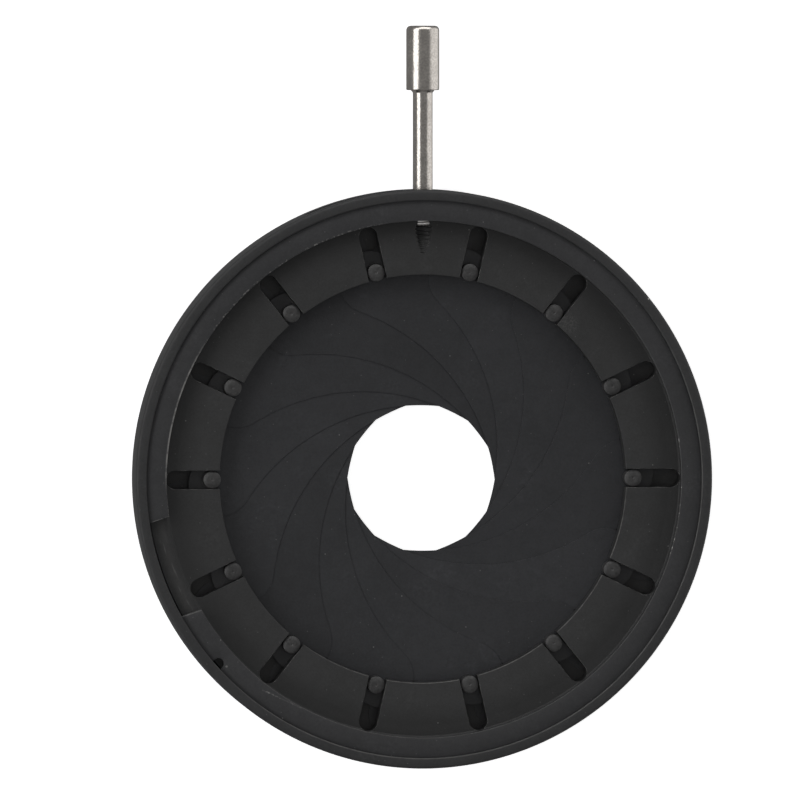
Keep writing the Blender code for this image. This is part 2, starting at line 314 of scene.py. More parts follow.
class Surface:
    """One material's nodes."""

    def __init__(self, name):
        self.material = bpy.data.materials.new(name)
        self.material.use_nodes = True
        self.tree = self.material.node_tree
        self.shader = self.tree.nodes["Principled BSDF"]
        self.place = self.tree.nodes.new("ShaderNodeTexCoord").outputs["Object"]
        self.normal = None

    def node(self, kind, inputs=None, **settings):
        made = self.tree.nodes.new(kind)
        for key, value in settings.items():
            setattr(made, key, value)
        for key, value in (inputs or {}).items():
            self.feed(made.inputs[key], value)
        return made

    def feed(self, socket, value):
        if isinstance(value, bpy.types.NodeSocket):
            self.tree.links.new(value, socket)
        else:
            socket.default_value = value

    def math(self, operation, *values):
        """One maths node, or a row of them when an operation on two values is given more."""
        while len(values) > 2:
            values = (self.math(operation, *values[:2]), *values[2:])
        made = self.node("ShaderNodeMath", operation=operation)
        for socket, value in zip(made.inputs, values):
            self.feed(socket, value)
        return made.outputs[0]

    def vector(self, operation, *values):
        made = self.node("ShaderNodeVectorMath", operation=operation)
        for socket, value in zip(made.inputs, values):
            self.feed(socket, value)
        return made

    def fade(self, value, low, high, to_low=0.0, to_high=1.0):
        """Goes smoothly from to_low to to_high while the value goes from low to high."""
        ends = {"From Min": low, "From Max": high, "To Min": to_low, "To Max": to_high}
        made = self.node(
            "ShaderNodeMapRange", {"Value": value, **ends}, interpolation_type="SMOOTHSTEP"
        )
        return made.outputs["Result"]

    def mix_colors(self, amount, low, high):
        made = self.node("ShaderNodeMix", data_type="RGBA")
        first, second = [s for s in made.inputs if s.type == "RGBA"]
        self.feed(made.inputs[0], amount)
        self.feed(first, low)
        self.feed(second, high)
        return [s for s in made.outputs if s.type == "RGBA"][0]

    def noise(self, size, detail=3.0, stretch=None, place=None):
        """Noise from 0 to 1 whose blots are about this size across."""
        place = place or self.place
        if stretch:
            place = self.vector("MULTIPLY", place, stretch).outputs[0]
        made = self.node(
            "ShaderNodeTexNoise", {"Vector": place, "Scale": 1 / size, "Detail": detail}
        )
        return made.outputs["Fac"]

    def flat_place(self):
        return self.vector("MULTIPLY", self.place, (1, 1, 0)).outputs[0]

    def along(self, axis):
        """The place along X, Y or Z."""
        return self.node("ShaderNodeSeparateXYZ", {"Vector": self.place}).outputs[axis]

    def radius(self):
        """The distance from the optical axis."""
        return self.vector("LENGTH", self.flat_place()).outputs["Value"]

    def height(self):
        return self.along("Z")

    def unrolled(self):
        """The distance from the optical axis, and the way round it at the radius of the pins."""
        angle = self.math("ARCTAN2", self.along("Y"), self.along("X"))
        way = self.math("MULTIPLY", angle, PIN_CIRCLE_R)
        return self.node("ShaderNodeCombineXYZ", {"X": self.radius(), "Y": way}).outputs[0]

    def rim(self, radius, widths, top, depths):
        """1 on the top edge of a bore, 0 past the first width outwards or the first depth down."""
        outwards = self.fade(self.radius(), radius + widths[0], radius + widths[1])
        down = self.fade(self.height(), top - depths[0], top - depths[1])
        return self.math("MULTIPLY", outwards, down)

    def towards(self, angle, low, high, to_low=0.0, to_high=1.0):
        """High on the side of the optical axis that faces this angle, low on the other."""
        unit = self.vector("NORMALIZE", self.flat_place()).outputs[0]
        side = (math.cos(angle), math.sin(angle), 0)
        facing = self.vector("DOT_PRODUCT", unit, side).outputs["Value"]
        return self.fade(facing, low, high, to_low, to_high)

    def spot(self, place, size):
        """1 at a place, 0 beyond this distance from it."""
        away = self.vector("DISTANCE", self.place, place).outputs["Value"]
        return self.fade(away, size, size * 0.4)

    def scratch(self, start, end, width):
        """1 along a straight line between two places, 0 beside it and past its ends."""
        line = Vector(end) - Vector(start)
        run = line.normalized()
        offset = self.vector("SUBTRACT", self.place, start).outputs[0]
        along = self.vector("DOT_PRODUCT", offset, run).outputs["Value"]
        across = self.vector("DOT_PRODUCT", offset, (-run.y, run.x, 0)).outputs["Value"]
        beside = self.fade(self.math("ABSOLUTE", across), width, width / 2)
        after_start = self.fade(along, 0, width)
        before_end = self.fade(along, line.length, line.length - width)
        return self.math("MULTIPLY", beside, after_start, before_end)

    def specks(self, spacing, size, share):
        """Small round specks, in this share of cells this far apart."""
        cells = self.node(
            "ShaderNodeTexVoronoi", {"Vector": self.place, "Scale": 1 / spacing, "Randomness": 1.0}
        )
        lot = self.node("ShaderNodeSeparateColor", {"Color": cells.outputs["Color"]}).outputs[0]
        chosen = self.math("GREATER_THAN", lot, 1 - share)
        near = self.fade(cells.outputs["Distance"], size / spacing, 0.4 * size / spacing)
        return self.math("MULTIPLY", near, chosen)

    def rounded_edges(self, size):
        """Softens the edges' shading, and gives 1 on an edge and 0 away from it."""
        bevel = self.node("ShaderNodeBevel", {"Radius": size}, samples=6)
        flat = self.node("ShaderNodeNewGeometry")
        self.normal = bevel.outputs[0]
        cosine = self.vector("DOT_PRODUCT", bevel.outputs[0], flat.outputs["Normal"])
        return self.fade(cosine.outputs["Value"], 0.995, 0.8)

    def bump(self, height, depth, strength):
        made = self.node(
            "ShaderNodeBump", {"Height": height, "Distance": depth, "Strength": strength}
        )
        if self.normal:
            self.feed(made.inputs["Normal"], self.normal)
        self.normal = made.outputs[0]

    def finish(self, color, roughness, metallic=0.0, **constants):
        main = {"Base Color": color, "Roughness": roughness, "Metallic": metallic}
        for key, value in {**main, **constants}.items():
            self.feed(self.shader.inputs[key.replace("_", " ")], value)
        if self.normal:
            self.feed(self.shader.inputs["Normal"], self.normal)
        return self.material


def tinted(color, factor=1.0):
    """A colour as a socket takes it, made lighter or darker."""
    return (*[factor * c for c in color], 1)


def coated(
    name,
    dark,
    light,
    roughness,
    wear,
    wear_where=None,
    turning=0.0,
    edge=0.08 * MM,
    marks_and_painted_light=None,
    painted_shade=None,
):
    """Black coated metal: grained, mottled, worn to metal on its edges, with specks of dust.

    wear_where says where the edges are worn, marks_and_painted_light adds bare places of their own
    and painted highlights and painted light, and painted_shade darkens with painted shade.
    Each is a function that makes its nodes on the surface. turning is the depth of the tool lines.
    """
    s = Surface(name)
    edges = s.rounded_edges(edge)
    mottled = s.math(
        "ADD",
        s.math("MULTIPLY", s.noise(7 * MM), 0.35),
        s.math("MULTIPLY", s.noise(1.3 * MM), 0.3),
        s.math("MULTIPLY", s.noise(0.28 * MM, 2), 0.45),
    )
    color = s.mix_colors(s.fade(mottled, 0.4, 0.7), tinted(dark), tinted(light))
    smudges = s.fade(s.noise(4 * MM, 6), 0.52, 0.72)
    smudged = s.math("MULTIPLY", smudges, s.fade(s.noise(0.45 * MM, 3), 0.4, 0.7), 0.5)
    color = s.mix_colors(smudged, color, tinted(light, 1.5))
    # Painted shade: darkens the colour where the mask given for it says.
    if painted_shade is not None:
        color = s.mix_colors(painted_shade(s), color, tinted(dark, 0.3))
    # Painted shade: the colour is scaled by the object's colour, which gives each leaf its lighter
    # or darker tone.
    painted_object_shade = s.node("ShaderNodeObjectInfo").outputs["Color"]
    color = s.vector("MULTIPLY", color, painted_object_shade).outputs[0]

    patchy = s.fade(s.noise(0.9 * MM, 4), 0.45, 0.62)
    worn = s.math("MULTIPLY", edges, s.math("MULTIPLY", patchy, wear))
    if wear_where is not None:
        worn = s.math("MULTIPLY", worn, wear_where(s))
    if marks_and_painted_light is not None:
        worn = s.math("MAXIMUM", worn, marks_and_painted_light(s))
    worn = s.math("MINIMUM", worn, 1.0)
    # Worn places take the bare metal colour, and so do the painted highlights and painted light.
    color = s.mix_colors(worn, color, BARE_METAL_AND_PAINTED_LIGHT)

    fine_dust = s.math("MULTIPLY", s.specks(0.9 * MM, 0.08 * MM, 0.5), 0.2)
    coarse_dust = s.math("MULTIPLY", s.specks(1.9 * MM, 0.1 * MM, 0.35), 0.45)
    dust = s.math("MAXIMUM", coarse_dust, fine_dust)
    color = s.mix_colors(dust, color, DUST)

    gloss = s.math(
        "ADD",
        roughness - 0.07,
        s.math("MULTIPLY", s.noise(3 * MM, 5), 0.16),
        s.math("MULTIPLY", dust, 0.2),
    )
    s.bump(s.noise(0.15 * MM, 2), 0.012 * MM, 0.8)
    s.bump(s.noise(0.5 * MM, 3), 0.012 * MM, 0.4)
    if turning:
        line_spacing = 0.16 * MM
        lines = s.math("SINE", s.math("MULTIPLY", s.radius(), 2 * math.pi / line_spacing))
        s.bump(lines, turning, 0.5)
    return s.finish(color, gloss, s.math("MULTIPLY", worn, 0.7))


def polar(radius, angle, height):
    return (radius * math.cos(angle), radius * math.sin(angle), height)


def body_wear_and_painted_light(s):
    """A painted highlight on part of the bore's edge, painted light that lifts the shaded floor
    under the leaves, and a nick in the rim.
    """
    # Painted highlight on the bore's top edge, towards the lower right.
    edge = s.math(
        "MULTIPLY",
        s.rim(BORE_R, (0.17 * MM, 0.09 * MM), HEIGHT, (0.15 * MM, 0.05 * MM)),
        s.towards(-50 * DEGREE, -0.1, 0.5),
        s.fade(s.noise(1.5 * MM, 3), 0.3, 0.6, 0.05, 0.12),
    )
    # Painted light on the floor under the leaves, where it lies in shade.
    floor = s.math(
        "MULTIPLY",
        s.fade(s.radius(), BORE_R + 0.05 * MM, BORE_R - 0.05 * MM, 0, 0.05),
        s.fade(s.height(), FLOOR_TOP + 0.1 * MM, FLOOR_TOP),
        s.fade(s.height(), 0.5 * FLOOR_TOP, FLOOR_TOP),
    )
    nick = s.spot(polar(34.85 * MM, 38.7 * DEGREE, HEIGHT - 0.1 * MM), 0.16 * MM)
    return s.math("MAXIMUM", edge, floor, nick)


def ring_painted_shade(s):
    """Painted shade that deepens across the ring's face towards the retaining ring, and stops under
    the shoulder.
    """
    outwards = s.fade(s.radius(), 26.5 * MM, 30.6 * MM)
    below = s.fade(s.radius(), SHOULDER_R + 0.3 * MM, SHOULDER_R - 0.3 * MM, 0, 0.55)
    return s.math("MULTIPLY", outwards, below)


def snap_painted_shade(s):
    """Painted shadow of the rim in the corner between the retaining ring and the bore, strongest at
    the left, and a darkening towards the lower right.
    """
    corner = s.fade(s.radius(), 33.05 * MM, 33.6 * MM)
    corner = s.math("MULTIPLY", corner, s.towards(180 * DEGREE, -0.2, 0.8, 0.05, 0.45))
    lower_right_darkening = s.towards(-45 * DEGREE, -0.3, 0.5, 0.0, 0.2)
    return s.math("MAXIMUM", corner, lower_right_darkening)


def ring_wear_and_highlight(s):
    """Rubbed streaks on the ring's shoulder, a scuffed place, and a painted highlight on the edge
    by the opening.
    """
    shoulder = s.fade(s.radius(), SHOULDER_R + 0.1 * MM, SHOULDER_R + 0.5 * MM)
    off_middle = s.math("ABSOLUTE", s.math("SUBTRACT", s.radius(), 32.4 * MM))
    middle = s.fade(off_middle, 0.9 * MM, 0.1 * MM)
    streaks = s.fade(s.noise(0.8 * MM, 3, (2.2, 0.35, 1), s.unrolled()), 0.52, 0.72)
    rubbed = s.math("ADD", s.math("MULTIPLY", streaks, 0.12), 0.03)
    rubbed = s.math("MULTIPLY", rubbed, middle, shoulder)
    scuffed = s.math(
        "MULTIPLY",
        s.spot(polar(25.6 * MM, 47 * DEGREE, RING_TOP), 1.8 * MM),
        s.fade(s.noise(0.22 * MM, 3), 0.42, 0.62),
        0.05,
    )
    # Painted highlight on the ring's inner edge, towards the lower right.
    painted_mouth_highlight = s.math(
        "MULTIPLY",
        s.rim(RING_INNER_R, (0.13 * MM, 0.07 * MM), RING_TOP, (0.12 * MM, 0.04 * MM)),
        s.towards(-62 * DEGREE, 0.3, 0.75),
        s.fade(s.noise(1.2 * MM, 3), 0.35, 0.65, 0.08, 0.2),
    )
    return s.math("MAXIMUM", rubbed, scuffed, painted_mouth_highlight)


def snap_wear_and_highlight(s):
    """A worn inner edge with beads, polish and sparks, a painted highlight along it at the lower
    right, bright gap ends, a scratch, and a tick.
    """
    depths = (0.2 * MM, 0.1 * MM)
    edge = s.rim(SNAP_INNER_R, (0.13 * MM, 0.05 * MM), SNAP_TOP, depths)
    wide_edge = s.rim(SNAP_INNER_R, (0.24 * MM, 0.1 * MM), SNAP_TOP, depths)
    # Painted highlight along the inner edge, towards the lower right.
    line = s.math("MULTIPLY", edge, s.towards(-45 * DEGREE, -0.3, 0.4, 0.0, 0.07))
    beads = s.fade(s.noise(0.5 * MM, 2), 0.53, 0.64)
    beads = s.math("MULTIPLY", edge, beads, s.towards(-3 * DEGREE, 0.955, 0.99))
    polish = s.fade(s.noise(0.6 * MM, 3), 0.3, 0.6, 0.2, 1)
    polish = s.math("MULTIPLY", s.towards(165 * DEGREE, 0.95, 0.99), polish, 0.5)
    sparks = s.fade(s.noise(0.25 * MM, 2), 0.52, 0.68)
    sparks = s.math("MULTIPLY", s.towards(130 * DEGREE, 0.8, 0.96), sparks, 0.35)
    bright = s.math("MULTIPLY", wide_edge, s.math("MAXIMUM", polish, sparks))

    scratch_start = polar(32.1 * MM, 232 * DEGREE, 0)
    scratch_end = polar(31.35 * MM, 241.8 * DEGREE, 0)
    scratch = s.scratch(scratch_start, scratch_end, 0.1 * MM)
    scratch = s.math("MULTIPLY", scratch, s.fade(s.noise(0.3 * MM, 2), 0.5, 0.66, 0.04, 0.35))

    across = (-math.sin(SNAP_GAP_ANGLE), math.cos(SNAP_GAP_ANGLE), 0)
    beyond = s.math("ABSOLUTE", s.vector("DOT_PRODUCT", s.place, across).outputs["Value"])
    ends = s.math(
        "MULTIPLY",
        s.fade(beyond, SNAP_GAP_HALF_WIDTH + 0.16 * MM, SNAP_GAP_HALF_WIDTH + 0.07 * MM),
        s.fade(s.noise(0.5 * MM, 3), 0.35, 0.65),
        s.towards(SNAP_GAP_ANGLE, 0.5, 0.9),
        0.22,
    )
    tick = s.spot(polar(32.9 * MM, 223.1 * DEGREE, SNAP_TOP), 0.18 * MM)
    tick = s.math("MULTIPLY", tick, 0.25)
    worn = s.math("MULTIPLY", s.math("MAXIMUM", beads, scratch, bright), 0.9)
    return s.math("MAXIMUM", worn, ends, line, tick)


def snap_wear_where(s):
    """More wear on the retaining ring's edges at the left, and most by the gap's lower end."""
    left = s.math("MULTIPLY", s.towards(160 * DEGREE, 0.7, 0.95), 0.8)
    gap_end = s.spot(polar(32.7 * MM, 209.3 * DEGREE, SNAP_TOP), 2.2 * MM)
    return s.math("ADD", 0.4, left, gap_end)


def leaf_painted_light(s):
    """Painted light: paler under the slotted ring, where the leaves lie in the slots' shade."""
    return s.fade(s.radius(), 25 * MM, 25.6 * MM, 0.0, 0.045)


def steel(name, tone, roughness, stretch, depth, metallic=1.0, crests=None):
    """Turned steel with fine tool lines and duller patches. Scuffed steel is less metallic."""
    s = Surface(name)
    s.rounded_edges(0.06 * MM)
    patches = s.fade(s.noise(1.5 * MM, 4), 0.3, 0.7)
    color = s.mix_colors(patches, tinted(tone), tinted(tone, 0.86))
    if crests is not None:
        color = s.mix_colors(crests(s), THREAD_GROOVE_DARK, color)
    grain = s.fade(s.noise(0.22 * MM, 2), 0.4, 0.6, 0.0, 0.35)
    color = s.mix_colors(grain, color, tinted(tone, 0.5))
    lines = s.noise(0.5 * MM, 3, stretch)
    gloss = s.math("ADD", roughness, s.math("MULTIPLY", lines, 0.1))
    s.bump(lines, depth, 0.6)
    s.bump(s.noise(0.2 * MM, 2), 0.02 * MM, 0.8)
    return s.finish(color, gloss, metallic)


def thread_crests(s):
    """1 on the crests of the lever's thread, 0 in its grooves."""
    offset = s.vector("SUBTRACT", s.place, (0, 0, LEVER_Z)).outputs[0]
    across = s.vector("MULTIPLY", offset, (1, 0, 1)).outputs[0]
    radius = s.vector("LENGTH", across).outputs["Value"]
    return s.fade(radius, THREAD_R - THREAD_DEPTH, THREAD_R - 0.5 * THREAD_DEPTH)


# ---------------------------------------------------------------- pieces


def blade_strips():
    """For each ray from the rise centre: its angle, and where it enters and leaves a blade."""
    middle_r = (BAND_INNER_R + BAND_OUTER_R) / 2
    cap_r = (BAND_OUTER_R - BAND_INNER_R) / 2
    centre = cmath.rect(RISE_CENTRE_R, BAND_ANGLE / 2)
    caps = [middle_r, cmath.rect(middle_r, BAND_ANGLE)]
    first, last = (cap - centre for cap in caps)
    quarter = np.linspace(0, math.pi / 2, CAP_RAYS + 1)[:-1]
    reach = [math.asin(cap_r * math.cos(s) / abs(first)) for s in quarter]
    first_angle = cmath.phase(first)
    last_angle = cmath.phase(last) % (2 * math.pi)

    # even steps of a mix of the angle about the rise centre and the angle along the inner edge
    samples = 800
    along = np.linspace(0, BAND_ANGLE, samples)
    about = np.unwrap(np.angle(BAND_INNER_R * np.exp(1j * along) - centre))
    inside = (about > first_angle) & (about < last_angle)
    about = np.concatenate([[first_angle], about[inside], [last_angle]])
    along = np.concatenate([[0], along[inside], [BAND_ANGLE]])
    mix = (about + along) / RAY_STEP
    steps = np.linspace(mix[0], mix[-1], math.ceil(mix[-1] - mix[0]) + 1)
    middle = np.interp(steps, mix, about)
    rays = [
        *[first_angle - r for r in reach],
        *middle,
        *[last_angle + r for r in reversed(reach)],
    ]

    circles = [
        (0, BAND_INNER_R, False),
        (0, BAND_OUTER_R, False),
        *[(cap, cap_r, True) for cap in caps],
    ]
    strips = []
    for angle in rays:
        direction = cmath.rect(1, angle)
        found = []
        for circle, radius, is_cap in circles:
            offset = centre - circle
            ahead = (offset * direction.conjugate()).real
            square = ahead**2 - abs(offset) ** 2 + (radius + TOUCH) ** 2
            if square < 0:
                continue
            for distance in (-ahead - math.sqrt(square), -ahead + math.sqrt(square)):
                turned_back = (centre + distance * direction) * cmath.rect(1, -BAND_ANGLE / 2)
                past_end = abs(cmath.phase(turned_back)) > BAND_ANGLE / 2
                if distance > 0 and past_end == is_cap:
                    found.append(distance)
        strips.append((angle, centre + min(found) * direction, centre + max(found) * direction))
    return strips


def blade_mesh(number):
    """One leaf in its place in the iris."""
    pin_offset = cmath.rect(PIN_CIRCLE_R, BAND_ANGLE) - PIN_CIRCLE_R
    pin = PIN_CIRCLE_R + pin_offset * cmath.rect(1, REST_TURN)
    pivot_angle = -cmath.phase(pin) + number * PITCH
    pivot = cmath.rect(PIN_CIRCLE_R, pivot_angle)
    turn = cmath.rect(1, pivot_angle + REST_TURN)
    shape = bmesh.new()
    strips = blade_strips()
    start = strips[0][0]
    rows = []
    for angle, enter, leave in strips:
        height = BLADE_BASE + RISE_PER_RADIAN * (angle - start)
        is_point = abs(enter - leave) < 0.01 * MM
        count = 1 if is_point else POINTS_ACROSS
        across = [enter + (leave - enter) * i / max(1, count - 1) for i in range(count)]
        across = [pivot + (p - PIN_CIRCLE_R) * turn for p in across]
        under = add_points(shape, across, height)
        over = add_points(shape, across, height + BLADE_T)
        rows.append((under, over))
    for here, there in zip(rows, rows[1:]):
        for layer in (0, 1):
            near, far = here[layer], there[layer]
            if len(near) == len(far):
                for i in range(len(near) - 1):
                    shape.faces.new((near[i], far[i], far[i + 1], near[i + 1]))
            else:
                point, row = (near, far) if len(near) == 1 else (far, near)
                for i in range(len(row) - 1):
                    shape.faces.new((point[0], row[i], row[i + 1]))
        for side in (0, -1):
            shape.faces.new((here[0][side], there[0][side], there[1][side], here[1][side]))
    return finish_mesh(shape, f"leaf_{number + 1:02d}")


def rivet_mesh(name, low, high):
    """A blade's pivot pin, with its end rounded over and counter-sunk."""
    sink_r, sink_bottom_r, sink_depth = 0.4 * MM, 0.25 * MM, 0.12 * MM
    outline = rounded(
        [
            (sink_bottom_r + 1j * (low.z + sink_depth), 0),
            (sink_r + 1j * low.z, 0.05 * MM),
            (RIVET_R + 1j * low.z, 0.12 * MM),
            (RIVET_R + 1j * high.z, 0),
        ]
    )
    return to_middle(turned(name, outline, sides=40), low, high)


def stud_mesh(name, low, high):
    """A blade's drive pin, with a domed top that has a small centre mark."""
    dome_height, dome_r = 0.16 * MM, 0.6 * MM
    mark_r, mark_bottom_r, mark_depth = 0.16 * MM, 0.1 * MM, 0.05 * MM
    outline = rounded(
        [
            (PIN_R + 1j * low.z, 0),
            (PIN_R + 1j * (high.z - dome_height), 0.07 * MM),
            (dome_r + 1j * high.z, 0.9 * MM),
            (mark_r + 1j * high.z, 0.04 * MM),
            (mark_bottom_r + 1j * (high.z - mark_depth), 0.03 * MM),
            (0.02 * MM + 1j * (high.z - mark_depth), 0),
        ]
    )
    return to_middle(turned(name, outline, sides=48), low, high)


def build_blades(surface, pin_surface):
    for i, tone in enumerate(LEAF_PAINTED_SHADING):
        number = f"{i + 1:02d}"
        leaf = add_piece(f"leaf_{number}", blade_mesh(i), surface)
        # Painted shade and light: this leaf's lighter or darker tone.
        leaf.color = (tone, tone, tone, 1)
        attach(leaf, f"blade_{number}")
        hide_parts(f"blade_{number}")

        low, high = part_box(f"pivot_pin_{number}")
        mesh = rivet_mesh(f"rivet_{number}", low, high)
        rivet = add_piece(f"rivet_{number}", mesh, pin_surface)
        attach(rivet, f"blade_{number}")
        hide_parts(f"pivot_pin_{number}")

        low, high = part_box(f"drive_pin_{number}")
        mesh = stud_mesh(f"stud_{number}", low, high)
        stud = add_piece(f"stud_{number}", mesh, pin_surface)
        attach(stud, f"drive_pin_{number}")
        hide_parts(f"drive_pin_{number}")


def pivot_hole(i):
    """A cutter for one blade's pivot hole, which widens a little towards the housing's back."""
    past = 0.2 * MM
    outline = [
        PIVOT_HOLE_R + 0.35 * MM - 1j * past,
        PIVOT_HOLE_R + 0.15j * MM,
        PIVOT_HOLE_R + 1j * (FLOOR_TOP + 0.5 * MM),
    ]
    low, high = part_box(f"pivot_pin_{i + 1:02d}")
    return to_middle(turned("hole", outline, sides=40), low, high)


def lever_slot():
    """A cutter for the slot in the housing's wall, with round ends, over the lever's travel."""
    start = math.pi / 2 + LEVER_OPENING_TURN
    end = math.pi / 2 + LEVER_CLOSING_TURN
    half_angle = math.asin(LEVER_SLOT_HALF / OUTER_R)
    sliver = 1e-5 * MM  # keeps the ends' last rows from closing up to a line
    across = [(angle, LEVER_SLOT_HALF) for angle in np.linspace(start, end, 180)]
    for s in np.linspace(0, math.pi / 2, 12)[1:]:
        reach = LEVER_SLOT_HALF * math.cos(s) + sliver
        across.append((end + half_angle * math.sin(s), reach))
        across.insert(0, (start - half_angle * math.sin(s), reach))
    shape = bmesh.new()
    rows = []
    for angle, reach in across:
        sides = [cmath.rect(r, angle) for r in (BORE_R - MARGIN, OUTER_R + MARGIN)]
        lower = add_points(shape, sides, LEVER_Z - reach)
        upper = add_points(shape, reversed(sides), LEVER_Z + reach)
        rows.append(lower + upper)
    bridge_all(shape, rows)
    return finish_mesh(shape, "lever_slot")


def build_housing(surface):
    outline = rounded(
        [
            (OUTER_R, 0.2 * MM),
            (OUTER_R + 1j * HEIGHT, 0.4 * MM),
            (BORE_R + 1j * HEIGHT, 0.14 * MM),
            (BORE_R + 1j * GROOVE_TOP, 0.03 * MM),
            (GROOVE_R + 1j * GROOVE_TOP, 0),
            (GROOVE_R + 1j * GROOVE_BASE, 0),
            (BORE_R + 1j * GROOVE_BASE, 0.03 * MM),
            (BORE_R + 1j * FLOOR_TOP, 0),
            (OPENING_R + 1j * FLOOR_TOP, 0.15 * MM),
            (OPENING_R, 0.15 * MM),
        ]
    )
    mesh = turned("body_shell", outline, SIDES, closed=True)
    shell = add_piece("body_shell", mesh, surface)
    holes = [pivot_hole(i) for i in range(BLADES)]
    carve(shell, join("housing_cutter", [*holes, lever_slot()]))
    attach(shell, "housing")
    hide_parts("housing")


def build_cam_ring(surface):
    """The slotted ring. Its top rises a little towards the shoulder under the retaining ring."""
    outline = rounded(
        [
            (RING_OUTER_R + 1j * RING_BASE, 0),
            (RING_OUTER_R + 1j * SHOULDER_TOP, 0.08 * MM),
            (SHOULDER_R + 1j * SHOULDER_TOP, 0.1 * MM),
            (SHOULDER_R - 0.3 * MM + 1j * (RING_TOP + 0.09 * MM), 0.2 * MM),
            (SHOULDER_R - 1.6 * MM + 1j * RING_TOP, 4 * MM),
            (RING_INNER_R + 1j * RING_TOP, 0.08 * MM),
            (RING_INNER_R + 1j * RING_BASE, 0),
        ],
        steps=6,
    )
    ring = add_piece("cam_ring", turned("cam_ring", outline, SIDES, closed=True), surface)
    half = SLOT_WIDTH / 2
    end = arc(half, -math.pi / 2, math.pi / 2, steps=24, centre=SLOT_END_R - half)
    mouth_r = RING_INNER_R - MARGIN
    slot = [complex(mouth_r, half), complex(mouth_r, -half), *end]
    cutters = []
    for i in range(BLADES):
        outline = [p * cmath.rect(1, i * PITCH) for p in slot]
        cutters.append(plate("slot", outline, RING_BASE - MARGIN, SHOULDER_TOP + MARGIN))
    bore_start = THREAD_START + 0.15 * MM
    bore = [TAPPED_R + 1j * bore_start, TAPPED_R + 1j * OUTER_R]
    cutters.append(along_lever(turned("bore", bore, sides=60)))
    carve(ring, join("ring_cutter", cutters))
    groove = threaded(
        "groove",
        crest_r=GROOVE_CREST_R,
        depth=GROOVE_THREAD_DEPTH,
        start=TAPPED_END_R,
        end=TAPPED_END_R + GROOVE_LENGTH,
        sides=60,
        tip=0.8 * GROOVE_LENGTH,
        taper=0.22,
    )
    carve(ring, along_lever(groove, GROOVE_AXIS_Z))
    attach(ring, "actuating_ring")
    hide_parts("slotted_ring")


def build_snap_ring(surface):
    """The retaining ring: a flat spring ring with a parallel-sided gap and a round notch."""
    reach = math.asin(NOTCH_R / SNAP_OUTER_R)
    depth = SNAP_OUTER_R * math.cos(reach) - NOTCH_CENTRE_R
    spread = math.pi - math.acos(depth / math.hypot(depth, NOTCH_R))
    notch = arc(NOTCH_R, -spread, spread - 2 * math.pi, steps=20, centre=NOTCH_CENTRE_R)
    outer_gap = math.asin(SNAP_GAP_HALF_WIDTH / SNAP_OUTER_R)
    inner_gap = math.asin(SNAP_GAP_HALF_WIDTH / SNAP_INNER_R)
    end = SNAP_GAP_ANGLE - outer_gap + 2 * math.pi
    inner_start = SNAP_GAP_ANGLE + inner_gap
    inner_end = SNAP_GAP_ANGLE - inner_gap + 2 * math.pi
    outline = [
        *arc(SNAP_OUTER_R, SNAP_GAP_ANGLE + outer_gap, NOTCH_ANGLE - reach, steps=14),
        *[point * cmath.rect(1, NOTCH_ANGLE) for point in notch],
        *arc(SNAP_OUTER_R, NOTCH_ANGLE + reach, end, steps=290),
        *arc(SNAP_INNER_R, inner_end, inner_start, steps=300),
    ]
    mesh = plate("snap_ring", outline, SNAP_BASE, SNAP_TOP, bevel=0.05 * MM)
    snap = add_piece("snap_ring", mesh, surface)
    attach(snap, "housing")
    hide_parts("retaining_ring")


def build_lever(surface, thread_surface):
    outline = rounded(
        [
            (0.9 * MM + 1j * HANDLE_START, 0),
            (ROD_R + 1j * HANDLE_START, 0.08 * MM),
            (ROD_R + 1j * (KNOB_START - 0.3 * MM), 0.2 * MM),
            (ROD_R + 0.25 * MM + 1j * KNOB_START, 0),
            (KNOB_R + 1j * KNOB_START, 0.16 * MM),
            (KNOB_R + 1j * LEVER_END, 0.55 * MM),
            (0.3 * MM + 1j * LEVER_END, 0.1 * MM),
            (0.05 * MM + 1j * (LEVER_END - 0.12 * MM), 0),
        ],
        steps=6,
    )
    mesh = along_lever(turned("lever_handle", outline, sides=96))
    handle = add_piece("lever_handle", mesh, surface)
    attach(handle, "actuating_ring")
    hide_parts("control_lever")

    shank = threaded(
        "lever_thread",
        crest_r=THREAD_R,
        depth=THREAD_DEPTH,
        start=THREAD_START + 0.2 * MM,
        end=HANDLE_START + 0.3 * MM,
        sides=72,
        tip=0.35 * MM,
        taper=0.9,
    )
    thread = add_piece("lever_thread", along_lever(shank), thread_surface)
    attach(thread, "actuating_ring")


# ---------------------------------------------------------------- studio


def area_light(name, place, size, power, mirrored=True, lights_coats=True):
    """A soft box that faces the object. It can be left out of reflections, or seen only in them."""
    light = bpy.data.lights.new(name, "AREA")
    light.shape = "RECTANGLE"
    light.size, light.size_y = size
    light.energy = power
    lamp = add_object(name, light)
    lamp.location = place
    lamp.rotation_euler = Vector(place).to_track_quat("Z", "Y").to_euler()
    lamp.visible_glossy = mirrored
    lamp.visible_diffuse = lights_coats


def build_floor():
    """A pale floor that glows, as over a light table, and that the steel doesn't mirror."""
    mesh = bpy.data.meshes.new("floor")
    half = 2.5
    low = -0.02 * MM
    corners = [(-half, -half, low), (half, -half, low), (half, half, low), (-half, half, low)]
    mesh.from_pydata(corners, [], [(0, 1, 2, 3)])
    pale = Surface("pale_floor")
    tone = pale.mix_colors(pale.noise(0.4), tinted((0.86, 0.86, 0.86)), tinted((0.9, 0.9, 0.9)))
    surface = pale.finish(tone, 0.9, Emission_Color=WHITE, Emission_Strength=0.75)
    floor = add_piece("floor", mesh, surface)
    floor.visible_glossy = False


